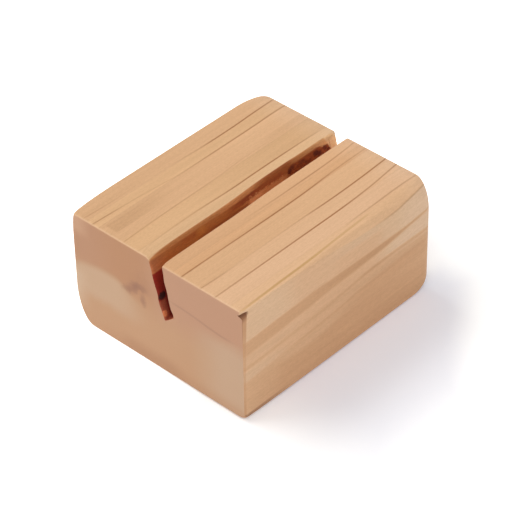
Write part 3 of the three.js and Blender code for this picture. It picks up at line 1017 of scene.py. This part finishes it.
def seen(t):
    """1 where the camera, a reflection or a clear piece looks at the backdrop."""
    path = t.node("ShaderNodeLightPath").outputs
    return t.largest(path["Is Camera Ray"], path["Is Glossy Ray"], path["Is Transmission Ray"])


# Half the floor's side in metres, the floor's and the world's white, and the world's light on the block
FLOOR_HALF = 2.0
FLOOR_WHITE, WHITE = (0.97, 0.97, 0.97, 1), (1, 1, 1, 1)
AMBIENT = 0.42

# The floor glows a little in the block's shadow, more around it, and is plain white further out.
# The shadow reaches this way from the block, as x and -y.
SHADOW_GLOW, OUTER_GLOW = (0.045, 0.055, 0.105, 1), (0.24, 0.24, 0.24, 1)
SHADOW_WAY = (0.62, 0.785)


def floor_material():
    """White that keeps the shadow, and glows more outside it."""
    material = bpy.data.materials.new("floor_white")
    material.use_nodes = True
    t = Tree(material.node_tree)
    diffuse = t.node("ShaderNodeBsdfDiffuse")
    t.put(diffuse.inputs["Color"], FLOOR_WHITE)
    x, y, _ = t.split(t.scaled(t.node("ShaderNodeTexCoord").outputs["Object"], TO_MM))
    ahead = t.step(t.sub(t.mul(x, SHADOW_WAY[0]), t.mul(y, SHADOW_WAY[1])), 42, 51)
    beside = t.largest(t.step(x, 31, 42), t.fall(x, -36, -10))
    corner_side = t.mul(t.step(y, -27, -20), t.step(x, 30, 36))
    outside = t.largest(ahead, beside, corner_side, t.fall(y, -64, -46))
    near = t.mix(outside, SHADOW_GLOW, OUTER_GLOW)
    distance = t.ellipse(x, y, (0, 0), 0.0, (1, 1))
    away = t.largest(t.step(distance, 75, 130), t.step(y, -15, 10))
    glow = t.node("ShaderNodeEmission")
    t.put(glow.inputs["Color"], t.mix(away, near, WHITE))
    t.put(glow.inputs["Strength"], seen(t))
    both = t.node("ShaderNodeAddShader")
    t.put(both.inputs[0], diffuse.outputs[0])
    t.put(both.inputs[1], glow.outputs[0])
    t.show("ShaderNodeOutputMaterial", both)
    return material


def build_stage():
    """A white floor and an even white world."""
    mesh = bpy.data.meshes.new("floor")
    corners = [(x * FLOOR_HALF, y * FLOOR_HALF, 0) for x, y in ((-1, -1), (1, -1), (1, 1), (-1, 1))]
    mesh.from_pydata(corners, [], [(0, 1, 2, 3)])
    mesh.materials.append(floor_material())
    floor = add_object("floor", mesh)

    world = bpy.data.worlds.new("studio")
    world.use_nodes = True
    t = Tree(world.node_tree)
    background = t.node("ShaderNodeBackground")
    t.put(background.inputs["Color"], WHITE)
    t.put(background.inputs["Strength"], t.add(AMBIENT, t.mul(seen(t), 1 - AMBIENT)))
    t.show("ShaderNodeOutputWorld", background)
    bpy.context.scene.world = world


# Soft lamps: name, direction from the block, width and height in metres, and power
LAMP_DISTANCE, LAMP_TARGET_Z = 1.8, 0.015
LAMPS = [
    ("key", (-0.22, 0.53, 0.82), (1.5, 0.7), 13.7),
    ("fill", (-0.41, -0.41, 0.82), (0.9, 0.9), 7.8),
    ("front", (0.1, -0.94, 0.32), (1.2, 1.2), 4.8),
]


def lamp(name, direction, size, power):
    """A soft lamp that shines at the block from a direction."""
    data = bpy.data.lights.new(name, "AREA")
    data.shape = "RECTANGLE"
    data.size, data.size_y = size
    data.energy = power
    made = add_object(name, data)
    towards = Vector(direction).normalized()
    made.location = towards * LAMP_DISTANCE + Vector((0, 0, LAMP_TARGET_Z))
    made.rotation_euler = towards.to_track_quat("Z", "Y").to_euler()


# The photo's view, fitted to the block's outline and seams: degrees, metres and pixels
AZIMUTH, ELEVATION, ROLL = (math.radians(angle) for angle in (-46.48, 39.23, -1.11))
CAMERA_DISTANCE = 0.5569
CAMERA_TARGET = Vector((-0.00118, -0.00215, 0.015))
FOCAL_PIXELS, IMAGE_PIXELS = 2554.8, 512
SENSOR_WIDTH, CLIP_START = 36.0, 0.01


def build_camera():
    """The camera at the photo's view."""
    back = Vector((
        math.sin(AZIMUTH) * math.cos(ELEVATION),
        -math.cos(AZIMUTH) * math.cos(ELEVATION),
        math.sin(ELEVATION),
    ))
    right = Vector((math.cos(AZIMUTH), math.sin(AZIMUTH), 0))
    up = back.cross(right)
    turned_right = right * math.cos(ROLL) + up * math.sin(ROLL)
    turned_up = up * math.cos(ROLL) - right * math.sin(ROLL)
    data = bpy.data.cameras.new("camera")
    data.sensor_fit = "HORIZONTAL"
    data.sensor_width = SENSOR_WIDTH
    data.lens = SENSOR_WIDTH * FOCAL_PIXELS / IMAGE_PIXELS
    data.clip_start = CLIP_START
    camera = add_object("camera", data)
    axes = Matrix((turned_right, turned_up, back)).transposed().to_4x4()
    camera.matrix_world = Matrix.Translation(CAMERA_TARGET + back * CAMERA_DISTANCE) @ axes
    bpy.context.scene.camera = camera


build_camera()
build_stage()
for settings in LAMPS:
    lamp(*settings)
bpy.context.scene.view_settings.view_transform = "Standard"

for index, (node, slot, *_) in enumerate(STRIPS):
    piece = add_object("wood_" + node, strip_mesh(index, "wood_" + node))
    piece.data.materials.append(strip_material(index))
    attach(piece, "root")
    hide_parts(node)
